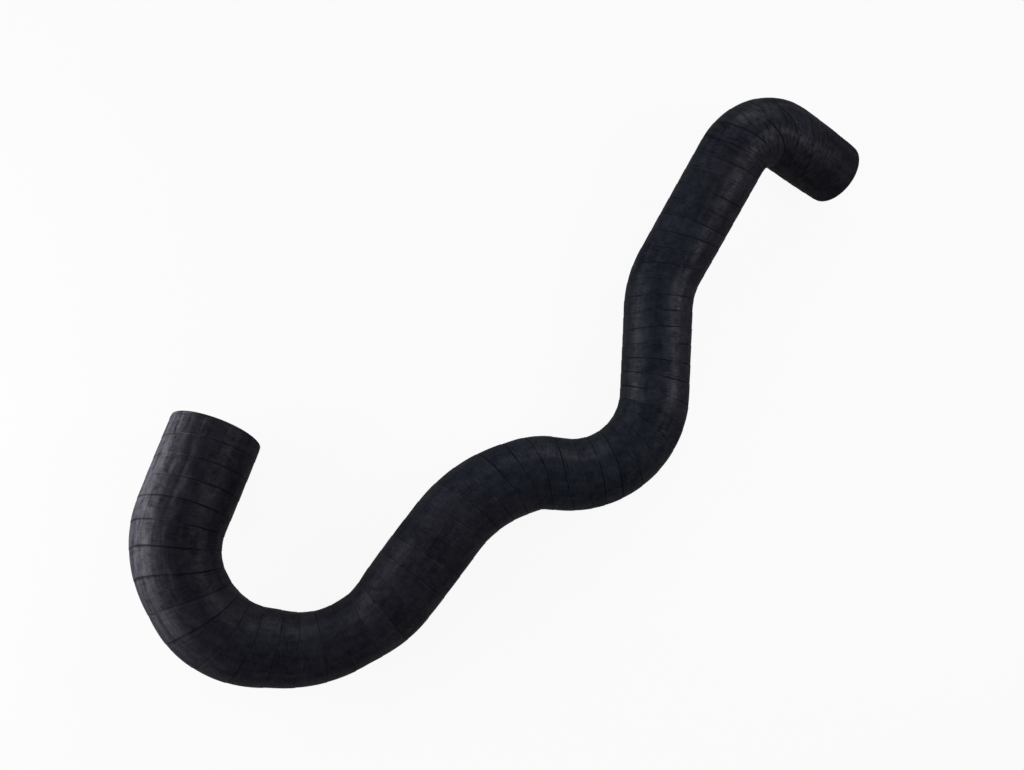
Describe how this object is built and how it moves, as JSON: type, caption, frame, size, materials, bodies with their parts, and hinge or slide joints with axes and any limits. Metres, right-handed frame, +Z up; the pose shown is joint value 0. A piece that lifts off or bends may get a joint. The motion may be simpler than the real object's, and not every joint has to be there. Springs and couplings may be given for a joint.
{
  "type": "intercooler pipe",
  "caption": "Long moulded rubber charge-air hose with several bends, wide at its U-bent inlet end and narrower at its outlet, with a spiral tape-wrap imprint and plain cut ends.",
  "frame": {"origin": "middle of the hose's footprint, on the ground that it lies on", "axes": "+Z up, off the ground that the hose lies on; +X along its longest extent, from the inlet end towards the outlet end; +Y across the ground"},
  "size_m": [0.5634, 0.458, 0.0921],
  "materials": {
    "rubber": "satin black, pressed with the weave and lap lines of the curing tape"
  },
  "bodies": {
    "root": {"hose_body": "rubber"}
  },
  "joints": []
}
